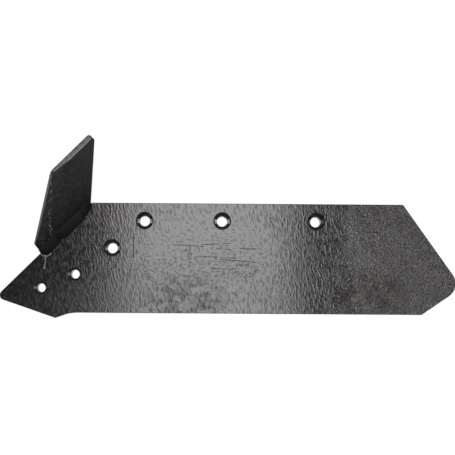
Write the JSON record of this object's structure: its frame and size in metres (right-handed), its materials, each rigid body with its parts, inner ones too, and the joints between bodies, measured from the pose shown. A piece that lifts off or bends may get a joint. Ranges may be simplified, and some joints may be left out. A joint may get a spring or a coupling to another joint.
{
  "type": "plough share",
  "caption": "Right-hand plough share of flat steel with a pointed nose, countersunk bolt holes and a knife-edged coulter fin welded to its landside edge.",
  "frame": {"origin": "axis of the frog-bolt hole at the landside end of the three-hole row, at the back face", "axes": "+X along the row of frog-bolt holes towards the wing, +Y towards the top edge, +Z out of the working face"},
  "size_m": [0.6211, 0.2267, 0.0972],
  "materials": {
    "black_paint": "semi-gloss black paint over rolled steel"
  },
  "bodies": {
    "root": {"share_blade": "black_paint", "coulter_fin": "black_paint", "furrow_side_weld": "black_paint"}
  },
  "joints": []
}
